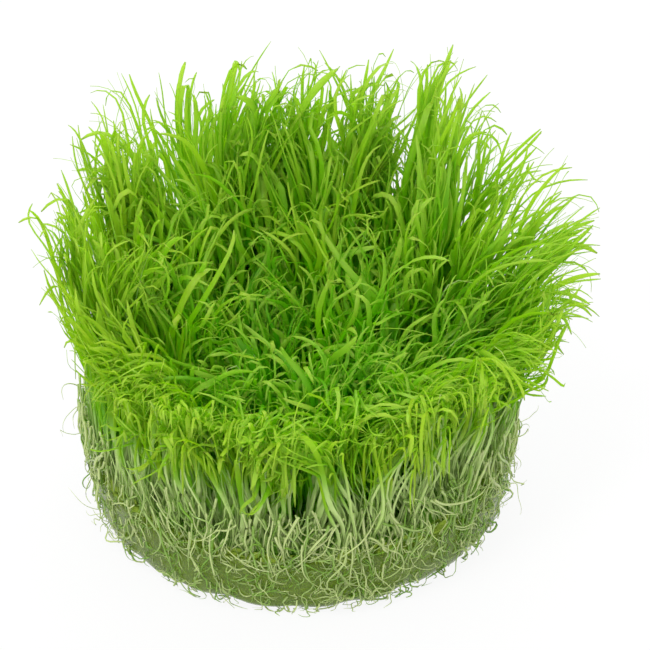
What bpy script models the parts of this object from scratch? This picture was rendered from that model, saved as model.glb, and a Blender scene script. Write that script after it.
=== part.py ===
"""Tissue culture bladderwort: a puck of culture gel under a dense sward of grass-like leaves.

The plants grew in a round cup and were lifted out of it, so the gel keeps the cup's tapered shape.
A mat of runners covers the gel, and the leaves stand on it in tufts: short in the middle, long and
flared at the sides and behind, and flopped over at the front. +Z is up, the front is -Y, and the
origin is the middle of the gel's flat underside.
"""

import math
import random

import bmesh
import bpy
from mathutils import Matrix, Vector

MM = 0.001

# Gel puck
GEL_BASE_RADIUS = 36.6 * MM
GEL_HEIGHT = 11.5 * MM
CUP_DRAFT_DEG = 5.0
GEL_FOOT_ROUND = 2.8 * MM
GEL_TOP_ROUND = 0.8 * MM
GEL_ROUND_STEPS = 4
GEL_SIDES = 48

# Scallops where the gel's lower edge stuck to the cup: direction, radius, and how far each reaches in
SCALLOPS = (
    (-37.0, 3.2 * MM, 1.2 * MM),
    (-49.0, 2.8 * MM, 1.0 * MM),
    (-60.0, 4.8 * MM, 1.9 * MM),
    (-76.0, 3.4 * MM, 1.2 * MM),
    (-111.0, 3.8 * MM, 1.3 * MM),
    (-141.0, 3.2 * MM, 1.1 * MM),
)
CUTTER_SEGMENTS = 12

# Mat of runners on the gel
SEAT_GAP = 0.3 * MM
MAT_THICKNESS = 2.4 * MM
MAT_INSET = 0.4 * MM
MAT_LUMP = 0.4 * MM
MAT_LUMPS = 11
MAT_SMALL_LUMP = 0.3 * MM
MAT_SMALL_LUMPS = 7
MAT_SIDES = 44
MAT_EDGE_ROUND = 0.7 * MM
MAT_EDGE_STEPS = 2

# Rings of tufts: name, tufts in the ring, its share of the mat's radius, steps along a leaf, and how
# much the leaves of a tuft spread apart on their way up
RINGS = (
    ("rim", 20, 0.865, 5, 0.0),
    ("shoulder", 14, 0.60, 3, 0.05),
    ("middle", 9, 0.36, 3, 0.22),
    ("centre", 4, 0.14, 3, 0.30),
)
LEAVES_IN_TUFT = 7
CROWN_HEIGHT = 2.0 * MM
CROWN_SHARE = 0.43
CROWN_TAPER = 0.9

# Leaves
RIM_LEAF_HEIGHT = 55.0 * MM
CENTRE_LEAF_HEIGHT = 24.0 * MM
RISE_POWER = 2.4
RIM_LEAN = 16.5 * MM
SIDE_LEAN = 4.0 * MM
LEAF_WIDTH_SHARE = 0.80
KEEL_SHARE = 0.40
LEAF_DRAW_IN = 0.86
SWAY_SHARE = 0.16
TWIST_LIMIT = 0.6
LENGTH_SPREAD = 0.18
LEAF_TAPER_POWER = 0.5
LOOK_BACK = 0.05
DROOP = 0.06

# Front leaves, which flop over the edge
FRONT_DEG = -90.0
FRONT_FULL_DEG = 30.0
FRONT_END_DEG = 74.0
FRONT_INNER_SHARE = 0.35
FRONT_OUTER_SHARE = 0.9
FRONT_SHORTER = 0.36
FRONT_DROOP = 0.50
FRONT_REACH = -4.5 * MM
SEED = 7

GEL_TOP_RADIUS = GEL_BASE_RADIUS + GEL_HEIGHT * math.tan(math.radians(CUP_DRAFT_DEG))
MAT_BOTTOM = GEL_HEIGHT + SEAT_GAP
MAT_RADIUS = GEL_TOP_RADIUS - MAT_INSET
CROWN_BOTTOM = MAT_BOTTOM + MAT_THICKNESS + SEAT_GAP
LEAF_BASE = CROWN_BOTTOM + CROWN_HEIGHT


def clear_scene():
    for obj in list(bpy.data.objects):
        bpy.data.objects.remove(obj)


def new_collection(name):
    made = bpy.data.collections.new(name)
    bpy.context.scene.collection.children.link(made)
    return made


def material(name, colour, roughness, clear=0.0):
    made = bpy.data.materials.new(name)
    made.use_nodes = True
    shader = made.node_tree.nodes["Principled BSDF"]
    shader.inputs["Base Color"].default_value = (*colour, 1.0)
    shader.inputs["Roughness"].default_value = roughness
    shader.inputs["Metallic"].default_value = 0.0
    shader.inputs["Transmission Weight"].default_value = clear
    shader.inputs["IOR"].default_value = 1.34
    return made


def new_object(name, mesh, collection, finish=None):
    made = bpy.data.objects.new(name, mesh)
    if finish is not None:
        mesh.materials.append(finish)
    collection.objects.link(made)
    return made


def mesh_from(bm, name, sharp_deg=35.0):
    """Turns the bmesh into a smooth-shaded mesh with its faces pointing out, and frees the bmesh."""
    bmesh.ops.recalc_face_normals(bm, faces=bm.faces)
    mesh = bpy.data.meshes.new(name)
    bm.to_mesh(mesh)
    bm.free()
    mesh.shade_smooth()
    mesh.set_sharp_from_angle(angle=math.radians(sharp_deg))
    return mesh


def smooth_step(value, low, high):
    share = min(1.0, max(0.0, (value - low) / (high - low)))
    return share * share * (3.0 - 2.0 * share)


def round_corner(centre_x, centre_z, radius, start_deg, end_deg):
    """Points of a rounded corner of the gel's half section, in the XZ plane."""
    turn = (end_deg - start_deg) / GEL_ROUND_STEPS
    angles = [math.radians(start_deg + turn * i) for i in range(GEL_ROUND_STEPS + 1)]
    return [(centre_x + radius * math.cos(a), centre_z + radius * math.sin(a)) for a in angles]


def wall_radius(height, inset):
    """Distance from the axis to a line that runs inside the gel's sloping side, at this inset from it."""
    draft = math.radians(CUP_DRAFT_DEG)
    return GEL_BASE_RADIUS + height * math.tan(draft) - inset / math.cos(draft)


def gel_profile():
    """The gel's half section, from the top of its axis down its side to the bottom of its axis."""
    top_z = GEL_HEIGHT - GEL_TOP_ROUND
    top_x = wall_radius(top_z, GEL_TOP_ROUND)
    top = round_corner(top_x, top_z, GEL_TOP_ROUND, 90.0, -CUP_DRAFT_DEG)
    foot_x = wall_radius(GEL_FOOT_ROUND, GEL_FOOT_ROUND)
    foot = round_corner(foot_x, GEL_FOOT_ROUND, GEL_FOOT_ROUND, -CUP_DRAFT_DEG, -90.0)
    return [(0.0, GEL_HEIGHT), *top, *foot, (0.0, 0.0)]


def turned(name, profile, sides, collection, finish):
    """A solid of revolution about Z, by a Screw modifier on its half section."""
    mesh = bpy.data.meshes.new(name)
    points = [(x, 0.0, z) for x, z in profile]
    edges = [(i, i + 1) for i in range(len(points) - 1)]
    mesh.from_pydata(points, edges, [])
    made = new_object(name, mesh, collection, finish)
    screw = made.modifiers.new("turn", "SCREW")
    screw.axis = "Z"
    screw.steps = sides
    screw.render_steps = sides
    screw.use_merge_vertices = True
    screw.merge_threshold = 0.00001
    screw.use_smooth_shade = True
    return made


def scallop_cutters(collection):
    """Balls set into the gel's lower edge, each turned to its own direction."""
    cutters = []
    for number, (angle_deg, radius, reach) in enumerate(SCALLOPS, start=1):
        bm = bmesh.new()
        bmesh.ops.create_uvsphere(
            bm, u_segments=CUTTER_SEGMENTS, v_segments=CUTTER_SEGMENTS // 2, radius=radius
        )
        cutter = new_object(f"scallop_cutter_{number}", mesh_from(bm, "scallop"), collection)
        angle = math.radians(angle_deg)
        out = GEL_BASE_RADIUS - GEL_FOOT_ROUND / 2.0 - reach + radius
        cutter.location = (out * math.cos(angle), out * math.sin(angle), 0.0)
        cutter.rotation_euler.z = angle
        cutter.hide_render = True
        cutter.display_type = "WIRE"
        cutters.append(cutter)
    return cutters


def gel_puck(collection, cutter_collection, finish):
    puck = turned("gel_puck", gel_profile(), GEL_SIDES, collection, finish)
    for cutter in scallop_cutters(cutter_collection):
        cut = puck.modifiers.new(cutter.name, "BOOLEAN")
        cut.operation = "DIFFERENCE"
        cut.solver = "EXACT"
        cut.object = cutter
    return puck


def stolon_mat(collection, finish):
    """A low disc whose edge draws in and out in lumps, where bundles of runners turn back."""
    bm = bmesh.new()
    bmesh.ops.create_cone(
        bm,
        cap_ends=True,
        segments=MAT_SIDES,
        radius1=MAT_RADIUS,
        radius2=MAT_RADIUS,
        depth=MAT_THICKNESS,
    )
    for vertex in bm.verts:
        angle = math.atan2(vertex.co.y, vertex.co.x)
        drawn_in = MAT_LUMP * (1.0 - math.sin(MAT_LUMPS * angle)) / 2.0
        drawn_in += MAT_SMALL_LUMP * (1.0 - math.cos(MAT_SMALL_LUMPS * angle)) / 2.0
        share = 1.0 - drawn_in / MAT_RADIUS
        vertex.co.x *= share
        vertex.co.y *= share
    made = new_object("stolon_mat", mesh_from(bm, "stolon_mat"), collection, finish)
    made.location.z = MAT_BOTTOM + MAT_THICKNESS / 2.0
    edge = made.modifiers.new("edge", "BEVEL")
    edge.width = MAT_EDGE_ROUND
    edge.segments = MAT_EDGE_STEPS
    edge.limit_method = "ANGLE"
    edge.angle_limit = math.radians(60.0)
    return made


def frontness(angle):
    """1 at the front, where the leaves flop over the edge, falling to 0 at the sides and behind."""
    off_front = math.degrees(math.acos(math.cos(angle - math.radians(FRONT_DEG))))
    return 1.0 - smooth_step(off_front, FRONT_FULL_DEG, FRONT_END_DEG)


def leaf_point(root, way):
    """Where a leaf that is rooted at this spot of the mat has got to, this far along its way.

    All leaves follow one flow that opens outwards, the short ones less far along it (1 is a full
    leaf's tip), so that neighbours keep clear of each other.
    """
    root_radius = math.hypot(root.x, root.y)
    angle = math.atan2(root.y, root.x)
    outness = min(1.0, root_radius / MAT_RADIUS)
    front = frontness(angle) * smooth_step(outness, FRONT_INNER_SHARE, FRONT_OUTER_SHARE)
    height = CENTRE_LEAF_HEIGHT + (RIM_LEAF_HEIGHT - CENTRE_LEAF_HEIGHT) * outness**RISE_POWER
    height *= 1.0 - FRONT_SHORTER * front
    droop = DROOP + (FRONT_DROOP - DROOP) * front
    lean = (RIM_LEAN + FRONT_REACH * front) * outness**2
    out = root_radius + lean * way**2
    x = out * math.cos(angle) + SIDE_LEAN * way**2
    return Vector((x, out * math.sin(angle), LEAF_BASE + height * (way - droop * way**4)))


def draw_out_leaf(bm, facet, middle, steps, fan, chance):
    """Draws one facet of a crown out into a tapering leaf of three sides, with its keel facing inwards."""
    corners = [loop.vert for loop in facet.loops]
    keel = min(range(3), key=lambda i: (corners[i].co - middle).length_squared)
    left = corners[(keel + 1) % 3].co.copy()
    right = corners[(keel + 2) % 3].co.copy()
    offset = (left + right) / 2.0 - middle
    offset.z = 0.0
    across = (right - left).normalized()
    half_width = LEAF_WIDTH_SHARE * (right - left).length / 2.0
    sway = Vector((chance.uniform(-1.0, 1.0), chance.uniform(-1.0, 1.0), 0.0))
    sway *= SWAY_SHARE * 2.0 * offset.length
    twist = chance.uniform(-TWIST_LIMIT, TWIST_LIMIT)
    length = 1.0 - LENGTH_SPREAD * chance.random()

    def spine(share):
        root = middle + offset * (LEAF_DRAW_IN + fan * share)
        return leaf_point(root, share * length) + sway * share**2

    face = facet
    for step in range(1, steps + 1):
        share = step / steps
        here = spine(share)
        run = (here - spine(share - LOOK_BACK)).normalized()
        turn = Matrix.Rotation(twist * share, 3, run)
        side = turn @ (across - run * across.dot(run)).normalized()
        inward = side.cross(run)
        if inward.dot(offset) > 0.0:
            inward.negate()
        face = bmesh.ops.extrude_discrete_faces(bm, faces=[face])["faces"][0]
        corners = [loop.vert for loop in face.loops]
        if step == steps:
            bmesh.ops.pointmerge(bm, verts=corners, merge_co=here)
            return
        width = half_width * (1.0 - share) ** LEAF_TAPER_POWER
        corners[keel].co = here + inward * width * 2.0 * KEEL_SHARE
        corners[(keel + 1) % 3].co = here - side * width
        corners[(keel + 2) % 3].co = here + side * width


def tuft(name, ring, number, collection, finish, chance):
    """A low crown on the mat, whose top is a fan of facets, each drawn out into a leaf."""
    _, count, radius_share, steps, fan = ring
    ring_radius = MAT_RADIUS * radius_share
    angle = math.tau * (number + 0.5 * (count % 2)) / count
    crown_radius = CROWN_SHARE * math.tau * ring_radius / count
    foot = Vector((ring_radius * math.cos(angle), ring_radius * math.sin(angle), CROWN_BOTTOM))
    stand = Matrix.Translation(foot + Vector((0.0, 0.0, CROWN_HEIGHT / 2.0)))
    bm = bmesh.new()
    bmesh.ops.create_cone(
        bm,
        cap_ends=True,
        cap_tris=True,
        segments=LEAVES_IN_TUFT,
        radius1=crown_radius,
        radius2=crown_radius * CROWN_TAPER,
        depth=CROWN_HEIGHT,
        matrix=stand @ Matrix.Rotation(chance.uniform(0.0, math.tau), 4, "Z"),
    )
    middle = foot + Vector((0.0, 0.0, CROWN_HEIGHT))
    top = [face for face in bm.faces if face.calc_center_median().z > foot.z + CROWN_HEIGHT * 0.99]
    for facet in top:
        draw_out_leaf(bm, facet, middle, steps, fan, chance)
    bmesh.ops.translate(bm, verts=bm.verts, vec=-foot)
    made = new_object(name, mesh_from(bm, name, 50.0), collection, finish)
    made.location = foot
    return made


def main():
    clear_scene()
    plant = new_collection("tissue_culture_bladderwort")
    cutters = new_collection("cutters")
    gel = material("culture_gel", (0.42, 0.47, 0.27), 0.12, clear=0.6)
    runners = material("pale_runners", (0.46, 0.55, 0.30), 0.55)
    leaves = material("green_leaves", (0.13, 0.36, 0.02), 0.42)
    gel_puck(plant, cutters, gel)
    stolon_mat(plant, runners)
    chance = random.Random(SEED)
    for ring in RINGS:
        for number in range(ring[1]):
            tuft(f"leaf_tuft_{ring[0]}_{number + 1:02d}", ring, number, plant, leaves, chance)


main()
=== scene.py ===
import math

import bmesh
import bpy
import numpy as np
from mathutils import Matrix, Vector, noise

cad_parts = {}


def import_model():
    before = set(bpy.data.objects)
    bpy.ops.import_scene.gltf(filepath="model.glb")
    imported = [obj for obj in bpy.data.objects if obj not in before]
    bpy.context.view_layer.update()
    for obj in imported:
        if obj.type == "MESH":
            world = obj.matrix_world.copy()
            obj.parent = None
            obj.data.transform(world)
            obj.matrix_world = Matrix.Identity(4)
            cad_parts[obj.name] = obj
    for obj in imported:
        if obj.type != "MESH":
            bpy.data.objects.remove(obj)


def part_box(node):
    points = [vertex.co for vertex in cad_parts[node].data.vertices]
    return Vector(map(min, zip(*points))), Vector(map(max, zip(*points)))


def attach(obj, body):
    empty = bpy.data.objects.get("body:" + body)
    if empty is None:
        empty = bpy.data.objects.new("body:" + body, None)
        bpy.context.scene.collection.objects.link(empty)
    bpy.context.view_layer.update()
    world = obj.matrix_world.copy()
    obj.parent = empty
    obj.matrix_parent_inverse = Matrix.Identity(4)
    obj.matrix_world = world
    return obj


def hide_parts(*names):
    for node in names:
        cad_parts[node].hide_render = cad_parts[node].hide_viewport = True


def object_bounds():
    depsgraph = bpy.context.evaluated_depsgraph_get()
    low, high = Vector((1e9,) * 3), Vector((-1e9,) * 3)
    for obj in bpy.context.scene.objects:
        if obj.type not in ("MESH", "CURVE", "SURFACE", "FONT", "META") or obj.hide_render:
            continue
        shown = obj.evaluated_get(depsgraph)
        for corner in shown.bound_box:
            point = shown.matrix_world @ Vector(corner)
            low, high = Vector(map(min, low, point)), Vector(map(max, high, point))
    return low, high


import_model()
cad_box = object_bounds()
MM = 0.001


# Gel puck. Clear grey-green culture gel that set in a round cup and was lifted out of it, so it tapers
# downwards. It is turned in one piece, its side left slightly uneven, and its lower edge is scalloped
# at the front, where it stuck to the cup.
GEL_DRAFT_DEG = 5.0
GEL_TOP_ROUND = 0.8 * MM
GEL_TOP_STEPS = 4
GEL_SIDE_STEPS = 6
GEL_FOOT_ROUND = 2.8 * MM
GEL_FOOT_STEPS = 6
GEL_TURN_STEPS = 144
GEL_LEVEL_SHARE = 0.8
GEL_UNEVEN = 0.35 * MM
GEL_UNEVEN_SIZE = 9.0 * MM
# Direction (degrees) and depth (mm) of each scallop.
GEL_SCALLOPS_DEG = {-37: 1.0, -49: 0.9, -60: 1.7, -76: 1.0, -92: 0.7, -111: 1.2, -127: 0.6, -141: 1.0}
GEL_SCALLOP_WIDTH_DEG = 4.6
GEL_SCALLOP_HEIGHT = 4.5 * MM
GEL_TINT = (0.40, 0.55, 0.07)
GEL_CLEAR_SHARE = 0.78
GEL_ABSORPTION = (0.59, 0.75, 0.18)
GEL_DENSITY = 16.0

gel_low, gel_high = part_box("gel_puck")
gel_top = gel_high[2]
gel_top_radius = (gel_high[0] - gel_low[0]) / 2.0


class Flow:
    """A shader socket that takes part in Python arithmetic."""

    def __init__(self, recipe, socket):
        self.recipe = recipe
        self.socket = socket

    def math(self, operation, first, second):
        return self.recipe.add("ShaderNodeMath", {"operation": operation}, {0: first, 1: second})

    def __add__(self, other):
        return self.math("ADD", self, other)

    def __radd__(self, other):
        return self.math("ADD", other, self)

    def __sub__(self, other):
        return self.math("SUBTRACT", self, other)

    def __rsub__(self, other):
        return self.math("SUBTRACT", other, self)

    def __mul__(self, other):
        return self.math("MULTIPLY", self, other)

    def __rmul__(self, other):
        return self.math("MULTIPLY", other, self)


class Recipe:
    """The nodes of one material, or of the world."""

    def __init__(self, owner):
        self.owner = owner
        owner.use_nodes = True
        self.tree = owner.node_tree
        self.tree.nodes.clear()

    def add(self, kind, settings=None, sockets=None, out=0):
        node = self.tree.nodes.new(kind)
        for setting, value in (settings or {}).items():
            setattr(node, setting, value)
        for key, value in (sockets or {}).items():
            if isinstance(value, Flow):
                self.tree.links.new(value.socket, node.inputs[key])
            else:
                node.inputs[key].default_value = value
        return Flow(self, node.outputs[out]) if node.outputs else None

    def step(self, value, low, high):
        """0 below low and 1 above high, smooth between them. High may be the smaller one."""
        settings = {"interpolation_type": "SMOOTHSTEP"}
        return self.add("ShaderNodeMapRange", settings, {"Value": value, "From Min": low, "From Max": high})

    def blend(self, share, first, second):
        first = first if isinstance(first, Flow) else (*first, 1.0)
        second = second if isinstance(second, Flow) else (*second, 1.0)
        return self.add("ShaderNodeMix", {"data_type": "RGBA"}, {0: share, 6: first, 7: second}, out=2)

    def grain(self, size):
        """Noise from 0 to 1 on the piece's own coordinates, with lumps of about this size."""
        where = self.add("ShaderNodeTexCoord", out="Object")
        return self.add("ShaderNodeTexNoise", None, {"Vector": where, "Scale": 1.0 / size, "Detail": 3.0})

    def seen_white(self):
        """1 where the camera sees a thing straight, mirrored or through glass, 0 where it gives light."""
        kinds = ("Camera", "Glossy", "Transmission")
        seen, mirrored, through = [self.add("ShaderNodeLightPath", out=f"Is {kind} Ray") for kind in kinds]
        ways = seen + mirrored + through
        return self.add("ShaderNodeMath", {"operation": "MINIMUM"}, {0: ways, 1: 1.0})

    def finish(self, surface, volume=None):
        kind = "World" if isinstance(self.owner, bpy.types.World) else "Material"
        ends = {"Surface": surface}
        if volume is not None:
            ends["Volume"] = volume
        self.add(f"ShaderNodeOutput{kind}", None, ends)
        return self.owner


def new_material(name):
    return Recipe(bpy.data.materials.new(name))


def mesh_from(bm, name):
    mesh = bpy.data.meshes.new(name)
    bm.to_mesh(mesh)
    bm.free()
    return mesh


def put_in_scene(name, data):
    thing = bpy.data.objects.new(name, data)
    bpy.context.scene.collection.objects.link(thing)
    return thing


def make_piece(name, mesh, finish, slot, *nodes):
    piece = put_in_scene(name, mesh)
    mesh.materials.clear()
    mesh.materials.append(finish)
    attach(piece, "root")
    if nodes:
        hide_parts(*nodes)


def gel_radius(height):
    """The gel's radius at this height, before its edges are rounded."""
    return gel_top_radius - (gel_top - height) * math.tan(math.radians(GEL_DRAFT_DEG))


def round_corner(centre_x, centre_z, radius, start_deg, end_deg, steps):
    turn = (end_deg - start_deg) / steps
    angles = [math.radians(start_deg + turn * i) for i in range(steps + 1)]
    return [(centre_x + radius * math.cos(a), centre_z + radius * math.sin(a)) for a in angles]


def gel_outline():
    """Half of the gel's upright section, from the middle of its top to the middle of its underside."""
    top_z = gel_top - GEL_TOP_ROUND
    top_x = gel_radius(top_z) - GEL_TOP_ROUND
    foot_x = gel_radius(GEL_FOOT_ROUND) - GEL_FOOT_ROUND
    top = round_corner(top_x, top_z, GEL_TOP_ROUND, 90, -GEL_DRAFT_DEG, GEL_TOP_STEPS)
    foot = round_corner(foot_x, GEL_FOOT_ROUND, GEL_FOOT_ROUND, -GEL_DRAFT_DEG, -90, GEL_FOOT_STEPS)
    side_top = Vector((top[-1][0], 0, top[-1][1]))
    side_foot = Vector((foot[0][0], 0, foot[0][1]))
    side = [side_top.lerp(side_foot, i / GEL_SIDE_STEPS) for i in range(1, GEL_SIDE_STEPS)]
    return [(0, 0, gel_top), *[(x, 0, z) for x, z in top], *side, *[(x, 0, z) for x, z in foot], (0, 0, 0)]


def gel_mesh():
    bm = bmesh.new()
    line = [bm.verts.new(point) for point in gel_outline()]
    edges = [bm.edges.new(pair) for pair in zip(line, line[1:])]
    bmesh.ops.spin(
        bm, geom=line + edges, cent=(0, 0, 0), axis=(0, 0, 1), angle=math.tau,
        steps=GEL_TURN_STEPS, use_merge=True,
    )
    bmesh.ops.remove_doubles(bm, verts=bm.verts, dist=0.01 * MM)
    for vertex in bm.verts:
        x, y, z = vertex.co
        out = math.hypot(x, y)
        if out < gel_top_radius * GEL_LEVEL_SHARE:
            continue
        dent = GEL_UNEVEN * noise.noise(vertex.co / GEL_UNEVEN_SIZE)
        low = max(0.0, 1.0 - z / GEL_SCALLOP_HEIGHT)
        for towards, depth in GEL_SCALLOPS_DEG.items():
            off = (math.degrees(math.atan2(y, x)) - towards) / GEL_SCALLOP_WIDTH_DEG
            dent -= depth * MM * low * math.exp(-off * off)
        share = 1.0 + (dent - GEL_UNEVEN * 0.5) / out
        vertex.co.x *= share
        vertex.co.y *= share
    bmesh.ops.recalc_face_normals(bm, faces=bm.faces)
    mesh = mesh_from(bm, "gel_puck_visual")
    mesh.shade_smooth()
    return mesh


def gel_finish():
    """Clear and tinted, its skin a little rough and uneven where it set against the cup."""
    gel = new_material("clear_culture_gel")
    unevenness = gel.grain(2.2 * MM)
    surface = gel.add("ShaderNodeBsdfPrincipled", None, {
        "Base Color": (*GEL_TINT, 1.0),
        "Roughness": 0.10 + 0.25 * gel.grain(6.0 * MM),
        "Transmission Weight": GEL_CLEAR_SHARE,
        "IOR": 1.34,
        "Normal": gel.add("ShaderNodeBump", None, {
            "Strength": 0.35, "Distance": 0.4 * MM, "Height": unevenness,
        }),
    })
    inside = gel.add("ShaderNodeVolumeAbsorption", None, {
        "Color": (*GEL_ABSORPTION, 1.0), "Density": GEL_DENSITY,
    })
    return gel.finish(surface, inside)


make_piece("gel_puck_clear", gel_mesh(), gel_finish(), "culture_gel", "gel_puck")


# Runners and rootlets. Hair-thin pale stems that curl over, in and out of the gel. Each is one closed
# tube: an array of one straight template, laid along winding paths that follow the gel's side.
STRAND_SIDES = 4
RUNNER_WAY = np.linspace(0.0, 1.0, 14)
RUNNER_SWEEP_SIZE = 8.0 * MM
RUNNER_SWEEP_DEG = 75.0
RUNNER_LOWEST = 0.3 * MM
RUNNER_PALE = (0.75, 0.83, 0.37)
RUNNER_FRESH = (0.22, 0.46, 0.02)
RUNNER_GLOW = (0.66, 0.85, 0.31)
RUNNER_GLOW_SHARE = 0.38
BOX_SPARE = 1.2 * MM

mat_low, mat_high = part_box("stolon_mat")
mat_top = mat_high[2]
mat_radius = (mat_high[0] - mat_low[0]) / 2.0


def straight_strand(way, flat):
    """One straight strand of unit radius and height, as a closed tube with its rings at these heights.

    A flat one has sharp edges along its two sides.
    """
    bm = bmesh.new()
    middle = Matrix.Translation((0.0, 0.0, 0.5))
    bmesh.ops.create_cone(
        bm, cap_ends=True, segments=STRAND_SIDES, radius1=1.0, radius2=1.0, depth=1.0, matrix=middle
    )
    upright = [e for e in bm.edges if abs(e.verts[0].co.z - e.verts[1].co.z) > 0.5]
    bmesh.ops.subdivide_edges(bm, edges=upright, cuts=len(way) - 2, use_grid_fill=True)
    for vertex in bm.verts:
        vertex.co.z = way[round(vertex.co.z * (len(way) - 1))]
    for edge in bm.edges:
        edge.smooth = not (flat and all(abs(v.co.x) > 0.9 for v in edge.verts))
    along = bm.loops.layers.uv.new("along")
    for face in bm.faces:
        face.smooth = True
        for loop in face.loops:
            loop[along].uv = (0.5 + 0.5 * loop.vert.co.x, loop.vert.co.z)
    return mesh_from(bm, "straight_strand")


def copies_of(template, count):
    """A mesh of this many copies of the template, one after another."""
    holder = put_in_scene("copies", template)
    array = holder.modifiers.new("copies", "ARRAY")
    array.count = count
    array.use_relative_offset = False
    array.use_constant_offset = True
    array.constant_offset_displace = (0.0, 0.0, 0.0)
    seen = holder.evaluated_get(bpy.context.evaluated_depsgraph_get())
    mesh = bpy.data.meshes.new_from_object(seen)
    bpy.data.objects.remove(holder)
    return mesh


def unit(vectors):
    return vectors / np.maximum(np.linalg.norm(vectors, axis=-1, keepdims=True), 1e-12)


def strand_mesh(name, way, spines, across, widths, depths, flat=False, fold=None, twist=None, **looks):
    """Copies of a straight strand laid along the spines.

    way is the share of the length at each ring, and spines is (strand, ring, xyz). across is each
    strand's flat direction, and widths and depths are its half width and half thickness at each ring.
    fold is how deep it is folded along its middle, as a share of its width, and twist how far it turns,
    in radians. looks are one number a strand, kept as attributes.
    """
    template = straight_strand(way, flat)
    corners = np.empty(len(template.vertices) * 3)
    template.vertices.foreach_get("co", corners)
    corners = corners.reshape(-1, 3)
    ring = np.abs(corners[:, 2:] - way[None, :]).argmin(axis=1)
    run = unit(np.gradient(spines, axis=1))
    side = unit(across[:, None, :] - run * np.sum(across[:, None, :] * run, axis=2, keepdims=True))
    face = np.cross(run, side)
    if twist is not None:
        turn = twist[:, None, None] * way[None, :, None]
        side, face = side * np.cos(turn) + face * np.sin(turn), face * np.cos(turn) - side * np.sin(turn)
    lift = depths[:, ring] * corners[None, :, 1]
    if fold is not None:
        lift = lift + fold[:, None] * widths[:, ring] * (1.0 - np.abs(corners[None, :, 0]))
    points = spines[:, ring] + side[:, ring] * (widths[:, ring] * corners[None, :, 0])[..., None]
    points = points + face[:, ring] * lift[..., None]
    mesh = copies_of(template, len(spines))
    mesh.name = name
    mesh.vertices.foreach_set("co", points.astype(np.float32).ravel())
    for look, values in looks.items():
        layer = mesh.attributes.new(look, "FLOAT", "POINT")
        layer.data.foreach_set("value", np.repeat(values, len(corners)).astype(np.float32))
    mesh.update()
    return mesh


def ease(value, low, high):
    """0 below low and 1 above high, smooth between them."""
    share = np.clip((value - low) / (high - low), 0.0, 1.0)
    return share * share * (3.0 - 2.0 * share)


def step_middles(way):
    return (way[1:] + way[:-1]) / 2.0


def ripples(chance, way, size, pace):
    """One ripple of this size for each strand, at these shares of its length."""
    pace = chance.uniform(*pace, (len(size), 1))
    phase = chance.uniform(0.0, 1.0, (len(size), 1))
    return size[:, None] * np.sin(math.tau * (pace * way + phase)) * ease(way, 0.0, 0.35)


def walked_from(roots, steps):
    """The points that these steps lead to, one after another, from the roots."""
    walked = np.concatenate([np.zeros((len(roots), 1, 3)), np.cumsum(steps, axis=1)], axis=1)
    return roots[:, None, :] + walked


def bent_paths(roots, lengths, rise, turn):
    """Paths that set off from their roots, with the climb and heading (radians) of every step."""
    step = np.stack([np.cos(rise) * np.cos(turn), np.cos(rise) * np.sin(turn), np.sin(rise)], axis=2)
    return walked_from(roots, step * lengths[:, None, None] / rise.shape[1])


def wrapped_on_gel(flat):
    """Lays flat paths, given as (round the gel, height, out from its side), on the gel's side."""
    height = np.maximum(flat[:, :, 1], RUNNER_LOWEST)
    rounding = np.clip(GEL_FOOT_ROUND - height, 0.0, None) ** 2 / (2.0 * GEL_FOOT_ROUND)
    out = gel_radius(height) - rounding + flat[:, :, 2]
    angle = flat[:, :, 0] / gel_top_radius
    return np.stack([out * np.cos(angle), out * np.sin(angle), height], axis=2)


def kept_in_box(spines):
    """Shortens the few strands that would leave the object's size."""
    low = np.array(cad_box[0]) - BOX_SPARE
    high = np.array(cad_box[1]) + BOX_SPARE
    root = spines[:, :1]
    reach = spines - root
    fit = np.ones(len(spines))
    for axis in range(3):
        most = np.maximum(reach[:, :, axis].max(axis=1), 1e-6)
        fit = np.minimum(fit, (high[axis] - root[:, 0, axis]) / most)
        least = np.maximum(-reach[:, :, axis].min(axis=1), 1e-6)
        fit = np.minimum(fit, (root[:, 0, axis] - low[axis]) / least)
    return root + reach * np.clip(fit, 0.2, 1.0)[:, None, None]


def runner_finish():
    """Wet and pale, some of them fresh green, with light coming through."""
    runner = new_material("pale_runner")
    tone = runner.add("ShaderNodeAttribute", {"attribute_name": "tone"}, out="Fac")
    fresh = runner.step(tone + 0.3 * runner.grain(3.0 * MM), 0.40, 1.00)
    skin = runner.add("ShaderNodeBsdfPrincipled", None, {
        "Base Color": runner.blend(fresh, RUNNER_PALE, RUNNER_FRESH),
        "Roughness": 0.10 + 0.2 * runner.grain(1.5 * MM),
        "Specular IOR Level": 0.9,
    })
    glow = runner.add("ShaderNodeBsdfTranslucent", None, {"Color": (*RUNNER_GLOW, 1.0)})
    return runner.finish(runner.add("ShaderNodeMixShader", None, {0: RUNNER_GLOW_SHARE, 1: skin, 2: glow}))


pale_runner = runner_finish()


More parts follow.
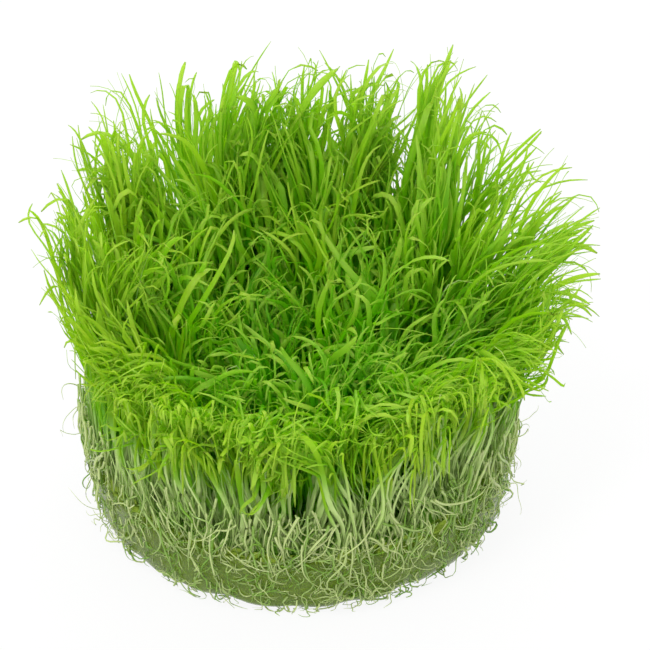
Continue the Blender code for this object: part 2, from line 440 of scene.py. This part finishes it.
def runners(name, seed, count, height, length, thickness, gap, first_way_deg, curl, wavy, away, tone):
    """Curling runners that start on or in the gel's side.

    height, length, thickness, gap (out from the side) and tone are ranges. first_way_deg is the heading
    they set off in (0 level, -90 down) and its scatter, curl how far they turn in all, in radians, wavy
    how much they wind on the way, and away the range of angles at which they leave the side.
    """
    chance = np.random.default_rng(seed)
    starts = np.stack([
        chance.uniform(0.0, math.tau, count) * gel_top_radius,
        chance.uniform(*height, count),
        chance.uniform(*gap, count),
    ], axis=1)
    lengths = chance.uniform(*length, count) * chance.uniform(0.5, 1.0, count)
    way = step_middles(RUNNER_WAY)[None, :]
    places = [Vector((round_gel, up, height[1])) for round_gel, up, _ in starts]
    sweep = np.array([noise.noise(place / RUNNER_SWEEP_SIZE) for place in places])
    first = np.radians(chance.normal(*first_way_deg, count) + RUNNER_SWEEP_DEG * sweep)
    curls = chance.normal(0.0, curl, count)[:, None] * way ** chance.uniform(1.0, 2.5, (count, 1))
    pace = (0.8, 1.0 + 1.6 * wavy)
    turn = first[:, None] + curls
    turn = turn + ripples(chance, way, chance.gamma(3.0, 0.25, count) * wavy, pace)
    rise = chance.uniform(*away, count)[:, None] * (1.0 - way)
    rise = rise + ripples(chance, way, chance.gamma(2.0, 0.2, count) * wavy, pace)
    spines = kept_in_box(wrapped_on_gel(bent_paths(starts, lengths, rise, turn)))
    radius = chance.uniform(*thickness, count)[:, None] / 2.0
    radius = radius * (1.0 - 0.8 * RUNNER_WAY[None, :] ** 2.5)
    across = np.tile((0.0, 0.0, 1.0), (count, 1)) + chance.normal(0.0, 0.3, (count, 3))
    tones = chance.uniform(*tone, count)
    mesh = strand_mesh(name, RUNNER_WAY, spines, across, radius, radius, tone=tones)
    make_piece(name, mesh, pale_runner, "pale_runners")


runners(
    "runners_in_gel", seed=11, count=700, height=(1.0 * MM, 12.0 * MM), length=(6 * MM, 14 * MM),
    thickness=(0.25 * MM, 0.65 * MM), gap=(-6.0 * MM, -0.3 * MM), first_way_deg=(-90, 60),
    curl=1.6, wavy=1.0, away=(-0.3, 0.3), tone=(0.3, 1.1),
)
runners(
    "runners_on_gel", seed=12, count=1000, height=(3.0 * MM, 15.5 * MM), length=(4 * MM, 12 * MM),
    thickness=(0.14 * MM, 0.34 * MM), gap=(-0.6 * MM, 0.4 * MM), first_way_deg=(-90, 40),
    curl=2.4, wavy=1.0, away=(-0.1, 0.4), tone=(0.0, 0.9),
)
runners(
    "roots_below_leaves", seed=14, count=640, height=(15.0 * MM, 24.0 * MM), length=(10 * MM, 19 * MM),
    thickness=(0.24 * MM, 0.60 * MM), gap=(-1.4 * MM, 0.8 * MM), first_way_deg=(-90, 12),
    curl=0.7, wavy=0.45, away=(-0.06, 0.12), tone=(0.0, 0.8),
)
runners(
    "rootlets_at_foot", seed=13, count=110, height=(0.4 * MM, 3.5 * MM), length=(2.5 * MM, 7 * MM),
    thickness=(0.15 * MM, 0.40 * MM), gap=(-0.6 * MM, 0.0 * MM), first_way_deg=(-90, 45),
    curl=1.8, wavy=0.8, away=(0.4, 1.3), tone=(0.1, 0.8),
)
runners(
    "stray_runners", seed=15, count=70, height=(3.0 * MM, 19.0 * MM), length=(5 * MM, 12 * MM),
    thickness=(0.14 * MM, 0.28 * MM), gap=(-0.4 * MM, 0.2 * MM), first_way_deg=(-40, 60),
    curl=2.2, wavy=0.6, away=(0.7, 1.5), tone=(0.0, 0.4),
)


# Stolon mat. The runners and the creeping stems lie matted on the gel's top. Under the loose ones is a
# low lumpy bed, an inflated disc that fills the mat's place, its dark green partly painted shade between
# the pale stems.
MAT_SIDES = 128
MAT_FOOT_SHARE = 0.95
MAT_TOP_SHARE = 0.90
MAT_RINGS = 14
MAT_RING_WIDTH = mat_radius / 17.0
MAT_LIFT = 0.05 * MM
MAT_LUMP_SIZE = 2.6 * MM
MAT_LUMP = 0.7 * MM
# The bed's two colours mix at random. Its dark green is partly painted shade, the dark seen between the
# pale stems.
MAT_DARK = (0.06, 0.30, 0.004)
MAT_LIGHT = (0.24, 0.52, 0.02)


def mat_mesh():
    bm = bmesh.new()
    depth = mat_top - gel_top
    bmesh.ops.create_cone(
        bm, cap_ends=True, segments=MAT_SIDES, depth=depth,
        radius1=mat_radius * MAT_FOOT_SHARE, radius2=mat_radius * MAT_TOP_SHARE,
        matrix=Matrix.Translation((0.0, 0.0, gel_top + depth / 2.0 + MAT_LIFT)),
    )
    caps = [f for f in bm.faces if len(f.verts) > 4]
    for _ in range(MAT_RINGS):
        bmesh.ops.inset_region(bm, faces=caps, thickness=MAT_RING_WIDTH, use_even_offset=True)
    for vertex in bm.verts:
        lump = MAT_LUMP * noise.noise(vertex.co / MAT_LUMP_SIZE)
        out = max(math.hypot(vertex.co.x, vertex.co.y), 5.0 * MM)
        share = 1.0 + (lump - MAT_LUMP * 0.5) / out
        vertex.co.x *= share
        vertex.co.y *= share
        if vertex.co.z > gel_top + depth / 2.0:
            vertex.co.z += lump - MAT_LUMP * 0.4
    bmesh.ops.recalc_face_normals(bm, faces=bm.faces)
    mesh = mesh_from(bm, "stolon_mat_visual")
    mesh.shade_smooth()
    return mesh


def mat_finish():
    mat = new_material("matted_stems")
    stems = mat.grain(0.8 * MM)
    skin = mat.add("ShaderNodeBsdfPrincipled", None, {
        "Base Color": mat.blend(mat.grain(1.2 * MM), MAT_DARK, MAT_LIGHT),
        "Roughness": 0.35 + 0.3 * mat.grain(2.0 * MM),
        "Normal": mat.add("ShaderNodeBump", None, {"Strength": 0.8, "Distance": 0.5 * MM, "Height": stems}),
    })
    return mat.finish(skin)


make_piece("stolon_mat_bed", mat_mesh(), mat_finish(), "pale_runners", "stolon_mat")


# Leaves. Narrow flat blades, pale at the foot and fresh green above, each a closed strand with a
# shallow fold along its middle. They stand in clumps that sweep one way, the longest behind, and those
# at the front flop over the edge and hang. Each ring of tufts is one joined piece.
CLUMPS = 560
CLUMP_SEED = 5
CLUMP_SCATTER = 0.5 * MM
GOLDEN_DEG = 137.508
MOOD_SEED = 6
MOOD_SIZE = 9.0 * MM
MOOD_LAYER = 0.1
MOOD_RANGE = 3.0
CLING_MOST = 0.8
SIDES_THINNED = 0.26
SWARD_RADIUS = mat_radius + 0.3 * MM
CENTRE_TOP = 39.0 * MM
BACK_TOP = 67.0 * MM
FRONT_TOP = 36.0 * MM
# For each direction (degrees), how much higher the tips reach there (mm) and over what width (degrees).
RIM_RISE_DEG = {30: (-5.0, 14.0), 66: (-2.5, 12.0), 118: (2.0, 12.0), 140: (-5.0, 12.0), 170: (2.0, 16.0)}
# The direction of the front, and how far round from it the leaves are all front, still flop over and
# stay low.
FRONT_DEG = -80.0
FRONT_FULL_DEG = 45.0
FLOP_END_DEG = 105.0
LOW_END_DEG = 125.0
# Direction and width (degrees) of the long sweep at the right, of the thin fringe beside it, and of
# the lock that hangs out furthest between them.
RIGHT_DEG = (13.0, 22.0)
FRONT_RIGHT_DEG = (-50.0, 28.0)
LONG_LOCK_DEG = (-24.0, 9.0)
RIM_SOFTNESS = 2.0 * MM
BLADE_STEPS = 13
BLADE_ROOT = mat_top - 1.4 * MM
BLADE_ROOT_SCATTER = 0.6 * MM
BLADE_SPREAD = 1.4 * MM
BLADE_LEAST_HALF = 0.05 * MM
BLADE_HALF_THICKNESS = 0.085 * MM
# Half the width of a usual blade and of the thin ones, still in mm.
BLADE_HALF_MM = 0.41
THIN_HALF_MM = (0.13, 0.22)
THIN_SHARE = 0.16
SPRAWLING_SHARE = 0.22
# A few thin blades pale nearly to the tip: partly bleached leaves, partly painted glossy highlights.
BLEACHED_AND_SHEEN_SHARE = 0.05
BLEACHED_AND_SHEEN_END = 0.8
LEAF_GREEN = (0.16, 0.54, 0.001)
LEAF_YELLOW_GREEN = (0.62, 0.73, 0.008)
# The tip colour is a painted glow: it lightens the tips as if light shone through them.
LEAF_TIP_PAINTED_GLOW = (0.62, 0.78, 0.10)
LEAF_RIB = (0.50, 0.80, 0.08)
LEAF_PALE = (0.66, 0.81, 0.31)


def leaf_finish(name, glow_colour, painted_shade_colour):
    """A sheer green skin: painted shade, a deeper green, low down in the sward; a painted glow lighter at
    the tip; a lighter rib, pale at the foot.
    """
    leaf = new_material(name)
    tone = leaf.add("ShaderNodeAttribute", {"attribute_name": "tone"}, out="Fac")
    pale_end = leaf.add("ShaderNodeAttribute", {"attribute_name": "pale_end"}, out="Fac")
    along = leaf.add("ShaderNodeUVMap", {"uv_map": "along"})
    way = leaf.add("ShaderNodeSeparateXYZ", None, {0: along}, out="Y")
    across = leaf.add("ShaderNodeSeparateXYZ", None, {0: along}, out="X")
    mottle = leaf.grain(2.5 * MM)
    body = leaf.blend(tone, LEAF_GREEN, LEAF_YELLOW_GREEN)
    # Low down on each blade the colour turns to the painted shade colour, a deeper green that stands for
    # the shade in the sward.
    painted_shade_low_down = leaf.blend(leaf.step(way + 0.2 * mottle, 0.15, 0.90), painted_shade_colour, body)
    # Towards the tip the colour blends into the painted glow colour.
    with_painted_tip_glow = leaf.blend(0.85 * leaf.step(way + 0.2 * mottle, 0.62, 1.12), painted_shade_low_down, LEAF_TIP_PAINTED_GLOW)
    rib = leaf.step(across, 0.42, 0.5) * leaf.step(across, 0.58, 0.5)
    green = leaf.blend(0.12 * rib, with_painted_tip_glow, LEAF_RIB)
    pale = leaf.step(way - pale_end + 0.12 * mottle, 0.20, -0.08)
    sheer = 0.70 - 0.12 * leaf.step(way, 0.4, 0.9) - 0.40 * pale
    bands = {"wave_type": "BANDS", "bands_direction": "X"}
    fibre = leaf.add("ShaderNodeTexWave", bands, {"Vector": along, "Scale": 3.0, "Distortion": 1.0})
    relief = 4.0 * across * (1.0 - across) + 0.15 * fibre
    skin = leaf.add("ShaderNodeBsdfPrincipled", None, {
        "Base Color": leaf.blend(pale, green, LEAF_PALE),
        "Roughness": 0.22 + 0.25 * mottle,
        "Specular IOR Level": 0.35,
        "Normal": leaf.add("ShaderNodeBump", None, {
            "Strength": 0.6, "Distance": 0.12 * MM, "Height": relief,
        }),
    })
    glow = leaf.add("ShaderNodeBsdfTranslucent", None, {"Color": (*glow_colour, 1.0)})
    return leaf.finish(leaf.add("ShaderNodeMixShader", None, {0: sheer, 1: skin, 2: glow}))


# Three copies of one leaf that differ in painted light. The inner one has a duller glow and a greener
# painted shade low down. The rim one has a lighter glow and a yellower low colour, for more light at the
# sward's edge.
inner_leaf_shaded = leaf_finish("inner_leaf_shaded", (0.44, 0.86, 0.015), (0.06, 0.60, 0.001))
shoulder_leaf = leaf_finish("shoulder_leaf", (0.52, 0.87, 0.025), (0.09, 0.60, 0.003))
rim_leaf_lit = leaf_finish("rim_leaf_lit", (0.61, 0.90, 0.06), (0.15, 0.60, 0.006))


def clump_centres(chance):
    """Evenly spread places for the clumps, as radius and angle, with some scatter."""
    index = np.arange(CLUMPS) + 0.5
    radius = SWARD_RADIUS * np.sqrt(index / CLUMPS) + chance.normal(0.0, CLUMP_SCATTER, CLUMPS)
    angle = np.radians(index * GOLDEN_DEG) + chance.normal(0.0, 0.03, CLUMPS)
    return np.clip(radius, 0.0, SWARD_RADIUS), np.mod(angle, math.tau)


def mood(radius, angle, kind):
    """One smooth random number for each clump, much the same for neighbours."""
    layer = np.full(len(radius), kind * MOOD_LAYER)
    places = np.column_stack([radius * np.cos(angle), radius * np.sin(angle), layer])
    return np.array([noise.noise(Vector(place / MOOD_SIZE)) for place in places]) * MOOD_RANGE


def frontness(angle, end_deg):
    """1 at the front, falling to 0 at this many degrees from it."""
    off = np.degrees(np.arccos(np.clip(np.cos(angle - math.radians(FRONT_DEG)), -1.0, 1.0)))
    return 1.0 - ease(off, FRONT_FULL_DEG, end_deg)


def near(angle, towards_deg, width_deg):
    """1 in this direction, falling off within about this many degrees of it."""
    off = (np.degrees(angle) - towards_deg + 180.0) % 360.0 - 180.0
    return np.exp(-((off / width_deg) ** 2))


def step_ends(first, last):
    """Shares of the length at the rings of a blade whose steps shrink or grow from first to last."""
    reached = np.append(0.0, np.cumsum(np.linspace(first, last, BLADE_STEPS)))
    return reached / reached[-1]


def leaned_paths(roots, lengths, lean, rings):
    """Paths that grow up from their roots. lean is how far each step leans over, in radians, as (x, y)."""
    tilt = np.linalg.norm(lean, axis=2)
    level = lean * (np.sin(tilt) / np.maximum(tilt, 1e-9))[..., None]
    step = np.concatenate([level, np.cos(tilt)[..., None]], axis=2)
    return walked_from(roots, step * lengths[:, None, None] * np.diff(rings)[None, :, None])


def held_at_rim(spines, limit, hold):
    """Draws in what reaches further than the limit from the middle, so that blades hang down there."""
    out = np.linalg.norm(spines[:, :, :2], axis=2)
    over = RIM_SOFTNESS * np.logaddexp(0.0, (out - limit[:, None]) / RIM_SOFTNESS)
    share = 1.0 - hold[:, None] * over / np.maximum(out, 1.0 * MM)
    return spines * np.stack([share, share, np.ones_like(share)], axis=2)


def clung_together(spines, rings, clump, cling):
    """How far each blade is drawn towards its clump's mean path, more and more towards the tips."""
    count = np.bincount(clump, minlength=CLUMPS)
    mean = np.zeros((CLUMPS, *spines.shape[1:]))
    np.add.at(mean, clump, spines)
    mean = mean / np.maximum(count, 1)[:, None, None]
    sideways = mean[clump] - spines
    sideways[:, :, 2] = 0.0
    return sideways * cling[:, None, None] * rings[None, :, None] * CLING_MOST


class Blades:
    """The leaves whose clumps stand between two shares of the sward's radius.

    per_clump is the range of how many stand in a clump, and rings the share of a blade's length at each
    of its rings. behind is True for the half behind the middle, False for the half before it and None
    for both. Each blade is shaped by where it stands, by numbers that it shares with its clump and by
    numbers of its own. Those are drawn in the order of leaves() below.
    """

    def __init__(self, seed, inner, outer, per_clump, rings, behind=None):
        self.chance = np.random.default_rng(seed)
        self.rings = rings
        self.stand(inner, outer, per_clump, behind)
        self.find_sides()
        self.grow()

    def own(self, *more):
        """A number for each blade alone, about 0 and mostly within 1 of it."""
        return self.chance.normal(0.0, 1.0, (self.count, *more))

    def stand(self, inner, outer, per_clump, behind):
        """Puts the blades at their clumps, fewer at the far sides of the sward."""
        radius, angle = clump_centres(np.random.default_rng(CLUMP_SEED))
        share = radius / SWARD_RADIUS
        chosen = (share >= inner) & (share < outer)
        if behind is not None:
            chosen &= (np.sin(angle) >= 0.0) == behind
        full = 1.0 - SIDES_THINNED * (np.cos(angle[chosen]) * ease(share[chosen], 0.5, 0.9)) ** 2
        many = np.round(self.chance.integers(*per_clump, chosen.sum()) * full).astype(int)
        self.clump = np.repeat(np.flatnonzero(chosen), many)
        self.count = len(self.clump)
        self.share_moods(radius, angle)

        radius, self.angle = radius[self.clump], angle[self.clump]
        centre = np.stack([radius * np.cos(self.angle), radius * np.sin(self.angle)], axis=1)
        foot = centre + self.chance.normal(0.0, BLADE_SPREAD, (self.count, 2))
        far = np.linalg.norm(foot, axis=1)
        foot = foot * (np.minimum(far, SWARD_RADIUS) / np.maximum(far, 1e-9))[:, None]
        height = BLADE_ROOT + self.chance.normal(0.0, BLADE_ROOT_SCATTER, self.count)
        self.roots = np.column_stack([foot, height])
        self.outness = np.minimum(far, SWARD_RADIUS) / SWARD_RADIUS

    def share_moods(self, radius, angle):
        """Gives the blades of a clump the same numbers, much like those of the clumps beside it."""
        chance = np.random.default_rng(MOOD_SEED)
        moods = []
        for kind in range(8):
            moods.append(0.8 * mood(radius, angle, kind) + 0.55 * chance.normal(0.0, 1.0, CLUMPS))
        self.clump_way = np.column_stack(moods[0:2])[self.clump]
        self.clump_curve = np.column_stack(moods[2:4])[self.clump]
        self.clump_ripple = np.column_stack(moods[4:6])[self.clump]
        self.clump_size = np.clip(moods[6], -1.5, 1.5)[self.clump]
        self.clump_tone = moods[7][self.clump]
        self.clump_cling = chance.uniform(0.0, 1.0, CLUMPS)[self.clump]

    def find_sides(self):
        """Numbers from 0 to 1 for how much each blade belongs to a side or a part of the sward."""
        angle, outness = self.angle, self.outness
        self.behind = np.clip(np.sin(angle), 0.0, 1.0) ** 2
        self.left = np.clip(-np.cos(angle), 0.0, 1.0) ** 2
        self.right = near(angle, *RIGHT_DEG)
        self.front_right = near(angle, *FRONT_RIGHT_DEG)
        self.side = ease(outness, 0.5, 1.0) * np.abs(np.cos(angle))
        # before is the front part of the sward, front the fringe that flops over, wild the tangle.
        self.before = frontness(angle, FLOP_END_DEG)
        self.front = self.before * ease(outness, 0.25, 0.90)
        self.wild = (1.0 - ease(outness, 0.35, 0.95)) * (1.0 - 0.5 * self.before * ease(outness, 0.2, 0.5))

    def grow(self):
        """Gives each blade its height. Some are thin, and some of the tangled ones sprawl."""
        rim_top = BACK_TOP + (FRONT_TOP - BACK_TOP) * frontness(self.angle, LOW_END_DEG) ** 0.8
        for towards, (rise, width) in RIM_RISE_DEG.items():
            rim_top = rim_top + rise * MM * near(self.angle, towards, width)
        wild, calm = self.wild, 1.0 - self.wild
        top = CENTRE_TOP + (rim_top - CENTRE_TOP) * self.outness**1.6 - BLADE_ROOT
        top = top * (1.0 + (0.05 + 0.09 * wild + 0.02 * self.behind) * self.clump_size)
        shorter = self.chance.random(self.count) ** (1.9 - 0.8 * wild - 0.5 * self.behind * calm)
        top = top * (1.0 - (0.29 + 0.19 * wild + 0.06 * self.behind * calm) * shorter)
        self.thin = self.chance.random(self.count) < THIN_SHARE
        self.lively = np.where(self.thin, 1.6, 0.9)
        self.sprawling = (self.chance.random(self.count) < SPRAWLING_SHARE) * (wild + 0.2 * self.front)
        fringe = 0.12 * self.front * ease(self.outness, 0.6, 0.9)
        self.top = top * (1.0 + 0.22 * self.sprawling + 0.06 * self.thin + fringe)

    def outward_lean(self, way):
        """The lean away from the middle: a flare all round, and the flop over the edge at the front."""
        front, right, ripple = self.front, self.right, self.clump_ripple
        spread = self.angle + (0.12 + 0.14 * front) * ripple[:, 0] + self.own() * (0.10 + 0.05 * front)
        flare = 0.46 + 0.07 * ripple[:, 1] + 0.05 * self.own()
        flare = flare * self.outness * (1.0 - 0.45 * ease(self.outness, 0.70, 1.0))
        flare = flare * (1.0 + 0.6 * right - 0.3 * self.left - 0.2 * self.behind)
        flare = (0.04 + flare) * (1.0 - 0.85 * front * (1.0 - 0.6 * right))
        flop = 1.5 + 0.5 * ease(self.outness, 0.75, 1.0) + 0.35 * ripple[:, 1] + 0.20 * self.own()
        flop = front * np.clip(flop, 0.5, 3.0)
        bend = 0.50 + 0.14 * ripple[:, 0] + 0.06 * self.own() + 0.12 * self.front_right
        bend = np.clip(bend, 0.15, 0.74)[:, None]
        outwards = flare[:, None] * way**1.3 + flop[:, None] * ease(way, bend, bend + 0.45)
        return np.stack([np.cos(spread), np.sin(spread)], axis=1)[:, None, :] * outwards[:, :, None]

    def swept(self, lean, way, own_way, own_curve):
        """Adds a sweep and a curve to the lean, most of both shared by the clump."""
        wild = self.wild
        astray = self.clump_way * (0.13 + 0.12 * wild[:, None]) + own_way * (0.04 + 0.03 * wild[:, None])
        lean = lean + astray[:, None, :] * (0.4 + 0.6 * way[:, :, None])
        curve = self.clump_curve * (0.13 + 0.37 * wild - 0.06 * self.side)[:, None]
        curve = curve + own_curve * (0.05 + 0.07 * wild[:, None])
        return lean + curve[:, None, :] * way[:, :, None] ** 2

    def waved(self, lean, way):
        """Adds each blade's own ripple, its clump's wave and the swinging to and fro of the fringe."""
        wild, front, ripple = self.wild, self.front, self.clump_ripple
        for axis in range(2):
            size = self.chance.gamma(2.5, 0.06 * self.lively * (1.0 - 0.3 * self.side), self.count)
            lean[:, :, axis] += ripples(self.chance, way, size, (0.9, 2.4))
            wave = np.sin(math.tau * 1.2 * way + 2.0 * ripple[:, axis, None]) * ease(way, 0.1, 0.5)
            lean[:, :, axis] += (0.10 + 0.25 * wild + 0.06 * front)[:, None] * wave
            swing = math.tau * 1.1 * way + 3.0 * ripple[:, 1 - axis, None]
            swing = np.sin(swing + self.chance.normal(0.0, 0.25, (self.count, 1)))
            lean[:, :, axis] += 0.32 * front[:, None] * swing
        return lean

    def curled(self, lean, way, own_curve):
        """Adds the hooks and the curls of the tips, and the long bend of the blades that sprawl."""
        wild, front, side = self.wild, self.front, self.side
        hook = 0.8 * self.clump_curve + 0.5 * self.own(2)
        hook_size = self.chance.gamma(1.6, 0.36 + 0.24 * wild - 0.12 * front - 0.14 * side)
        hook = hook * (hook_size * self.lively)[:, None]
        lean = lean + hook[:, None, :] * ease(way, 0.55, 1.05)[:, :, None]
        curl_size = self.chance.gamma(1.3, 0.60, self.count)
        curl_size = curl_size * (1.0 + 0.5 * wild + 0.5 * self.behind - 0.4 * side - 0.55 * front)
        curl = self.own(2) * curl_size[:, None]
        lean = lean + curl[:, None, :] * ease(way, 0.80, 1.0)[:, :, None]
        sprawl_size = self.sprawling * self.chance.uniform(0.7, 1.7, self.count)
        sprawl = unit(self.clump_curve + 0.4 * own_curve) * sprawl_size[:, None]
        return lean + sprawl[:, None, :] * ease(way, 0.15, 0.9)[:, :, None]

    def spines(self):
        """The blades' middle lines, made as long as brings their tops to their heights."""
        rings, roots = self.rings, self.roots[:, None, :]
        way = step_middles(rings)[None, :]
        lean = self.outward_lean(way)
        own_way, own_curve = self.own(2), self.own(2)
        lean = self.curled(self.waved(self.swept(lean, way, own_way, own_curve), way), way, own_curve)
        spines = leaned_paths(self.roots, self.top, lean, rings)
        risen = np.max(spines[:, :, 2] - roots[:, :, 2], axis=1)
        longer = np.minimum(self.top / risen, 1.15 + 0.45 * self.front)
        spines = roots + (spines - roots) * longer[:, None, None]
        cling = self.clump_cling * ease(self.outness, 0.5, 0.9) * (1.0 - 0.6 * self.front)
        spines = spines + clung_together(spines, rings, self.clump, cling)
        # Their tips stand a little to the right, more so in the long sweep there.
        shift = MM * self.outness * (1.0 + 3.5 * self.right)
        spines[:, :, 0] += shift[:, None] * rings[None, :] ** 2
        spill = self.chance.uniform(0.5, 5.0, self.count) + 6.5 * near(self.angle, *LONG_LOCK_DEG)
        hold = self.front**0.4 * (1.0 - 0.75 * self.right)
        return kept_in_box(held_at_rim(spines, SWARD_RADIUS + spill * MM, hold))

    def cross_sections(self):
        """Half widths and half thicknesses, broadest behind, narrower at the sides and in front."""
        way = self.rings[None, :]
        back = ease(self.outness, 0.5, 1.0) * (1.0 - self.front)
        forward = self.before * ease(self.outness, 0.15, 0.60)
        half = self.chance.lognormal(0.0, 0.34, self.count)
        half = half * (BLADE_HALF_MM + 0.09 * back - 0.06 * forward - 0.11 * self.side)
        half = np.clip(half, 0.18, 0.66 + 0.34 * back - 0.16 * forward - 0.14 * self.side)
        half = np.where(self.thin, self.chance.uniform(*THIN_HALF_MM, self.count), half)[:, None] * MM
        narrow = (self.chance.uniform(0.40, 0.80, self.count) - 0.12 * back)[:, None]
        tail = (self.chance.uniform(0.45, 0.85, self.count) - 0.05 * back)[:, None]
        shape = 0.55 + 0.45 * ease(way, 0.0, 0.35)
        shape = shape * (1.0 - (1.0 - tail) * ease(way, narrow, narrow + 0.35))
        shape = shape * (1.0 - 0.70 * way**30)
        pace = self.chance.uniform(9.0, 22.0, (self.count, 1))
        uneven = 1.0 + 0.12 * np.sin(way * pace + self.chance.uniform(0.0, 6.0, (self.count, 1)))
        widths = np.maximum(half * shape * uneven, BLADE_LEAST_HALF)
        depths = BLADE_HALF_THICKNESS * (1.0 - 0.6 * way) * np.ones((self.count, 1))
        return widths, np.minimum(depths, widths)

    def flat_ways(self, spines):
        """The level direction that each blade is broad in, more or less across the way it leans."""
        reach = spines[:, -1] - spines[:, 0]
        turn = np.arctan2(reach[:, 1], reach[:, 0]) + math.pi / 2.0
        turn = turn + self.chance.normal(0.0, 0.5, self.count)
        return np.stack([np.cos(turn), np.sin(turn), np.zeros(self.count)], axis=1)

    def tones(self):
        """0 for green to 1 for yellow green: yellower in the fringe, greener just before the middle, and
        yellower at the sides, most at the left, which is painted light.
        """
        tone = 0.40 + 0.18 * self.clump_tone + 0.16 * self.own() + 0.32 * self.front
        before_middle = self.before * ease(self.outness, 0.15, 0.40)
        before_middle = before_middle * (1.0 - ease(self.outness, 0.78, 0.94))
        # The side term lightens the blades at the left and right edges, most of all at the left: painted
        # light coming in from the sides.
        tone = tone + 0.28 * self.side * (1.0 - 0.7 * np.cos(self.angle)) - 0.45 * before_middle
        return np.clip(tone, 0.0, 1.0)

    def pale_ends(self):
        """How far up its length each blade is pale. A few thin ones are pale nearly to the tip, partly
        bleached leaves and partly painted glossy highlights.
        """
        pale = (0.14 + 0.38 * self.front + 0.10 * self.front_right) * ease(self.outness, 0.80, 0.95)
        pale = pale + 0.07 * self.own() - 0.04
        return np.where(self.thin & (self.chance.random(self.count) < BLEACHED_AND_SHEEN_SHARE), BLEACHED_AND_SHEEN_END, pale)


def leaves(name, finish, nodes, blades):
    """Makes the piece of one ring of tufts."""
    spines = blades.spines()
    widths, depths = blades.cross_sections()
    across = blades.flat_ways(spines)
    tones = blades.tones()
    pale_ends = blades.pale_ends()
    fold = blades.chance.uniform(0.0, 0.25, blades.count)
    twist = blades.chance.normal(0.0, 0.9, blades.count)
    mesh = strand_mesh(
        name, blades.rings, spines, across, widths, depths, flat=True, fold=fold, twist=twist,
        tone=tones, pale_end=pale_ends,
    )
    make_piece(name, mesh, finish, "green_leaves", *nodes)


def tufts(ring, first, last):
    return [f"leaf_tuft_{ring}_{number:02d}" for number in range(first, last + 1)]


even_rings = step_ends(1.15, 0.85)
tip_rings = step_ends(1.7, 0.45)
leaves("leaves_centre", inner_leaf_shaded, tufts("centre", 1, 4),
       Blades(seed=21, inner=0.0, outer=0.25, per_clump=(5, 8), rings=tip_rings))
leaves("leaves_middle", inner_leaf_shaded, tufts("middle", 1, 9),
       Blades(seed=22, inner=0.25, outer=0.48, per_clump=(5, 8), rings=tip_rings))
leaves("leaves_shoulder", shoulder_leaf, tufts("shoulder", 1, 14),
       Blades(seed=23, inner=0.48, outer=0.74, per_clump=(5, 9), rings=tip_rings))
leaves("leaves_rim_back", rim_leaf_lit, tufts("rim", 1, 10),
       Blades(seed=24, inner=0.74, outer=1.1, per_clump=(12, 18), rings=tip_rings, behind=True))
leaves("leaves_rim_front", rim_leaf_lit, tufts("rim", 11, 20),
       Blades(seed=25, inner=0.74, outer=1.1, per_clump=(11, 16), rings=even_rings, behind=False))


# Floor, light and camera. A plain white floor under soft, even light, seen from the photograph's angle.
# The floor shows nearly white to the camera and keeps a faint shadow.
CAMERA_DISTANCE = 500.0 * MM
CAMERA_RISE_DEG = 37.5
CAMERA_AIM = (4.4 * MM, 0.0, 34.6 * MM)
CAMERA_LENS = 153.0
CAMERA_FILM = 36.0
CAMERA_NEAREST = 10.0 * MM
FLOOR_SIZE = 3.0
FLOOR_DROP = 0.05 * MM
FLOOR_GREY = 0.82
FLOOR_WHITE_SHARE = 0.90
WORLD_LIGHT = 0.95
WHITE = (1.0, 1.0, 1.0, 1.0)


def floor():
    bm = bmesh.new()
    bmesh.ops.create_grid(bm, x_segments=1, y_segments=1, size=FLOOR_SIZE)
    bmesh.ops.translate(bm, verts=bm.verts, vec=(0.0, 0.0, -FLOOR_DROP))
    mesh = mesh_from(bm, "floor")
    plane = put_in_scene("floor", mesh)
    white = new_material("white_floor")
    grey = (FLOOR_GREY, FLOOR_GREY, FLOOR_GREY, 1.0)
    paint = white.add("ShaderNodeBsdfDiffuse", None, {"Color": grey})
    shine = white.add("ShaderNodeEmission", None, {"Color": WHITE, "Strength": 1.0})
    share = white.seen_white() * FLOOR_WHITE_SHARE
    mixed = white.add("ShaderNodeMixShader", None, {0: share, 1: paint, 2: shine})
    mesh.materials.append(white.finish(mixed))


def world():
    sky = Recipe(bpy.data.worlds.new("studio"))
    bpy.context.scene.world = sky.owner
    strength = WORLD_LIGHT + (1.0 - WORLD_LIGHT) * sky.seen_white()
    sky.finish(sky.add("ShaderNodeBackground", None, {"Color": WHITE, "Strength": strength}))


def turned_towards(aim, place):
    return (Vector(aim) - Vector(place)).to_track_quat("-Z", "Y").to_euler()


def soft_box(name, place, size, power):
    light = bpy.data.lights.new(name, "AREA")
    light.size = size
    light.energy = power
    lamp = put_in_scene(name, light)
    lamp.location = place
    lamp.rotation_euler = turned_towards((0.0, 0.0, 0.0), place)


def camera():
    lens = bpy.data.cameras.new("camera")
    lens.lens = CAMERA_LENS
    lens.sensor_width = CAMERA_FILM
    lens.clip_start = CAMERA_NEAREST
    eye = put_in_scene("camera", lens)
    rise = math.radians(CAMERA_RISE_DEG)
    eye.location = (0.0, -CAMERA_DISTANCE * math.cos(rise), CAMERA_DISTANCE * math.sin(rise))
    eye.rotation_euler = turned_towards(CAMERA_AIM, eye.location)
    bpy.context.scene.camera = eye


floor()
world()
soft_box("soft_box_over", place=(-0.25, -0.30, 0.75), size=0.20, power=2.7)
soft_box("soft_box_behind", place=(0.10, 0.60, 0.50), size=0.7, power=3.0)
camera()
bpy.context.scene.view_settings.view_transform = "Standard"
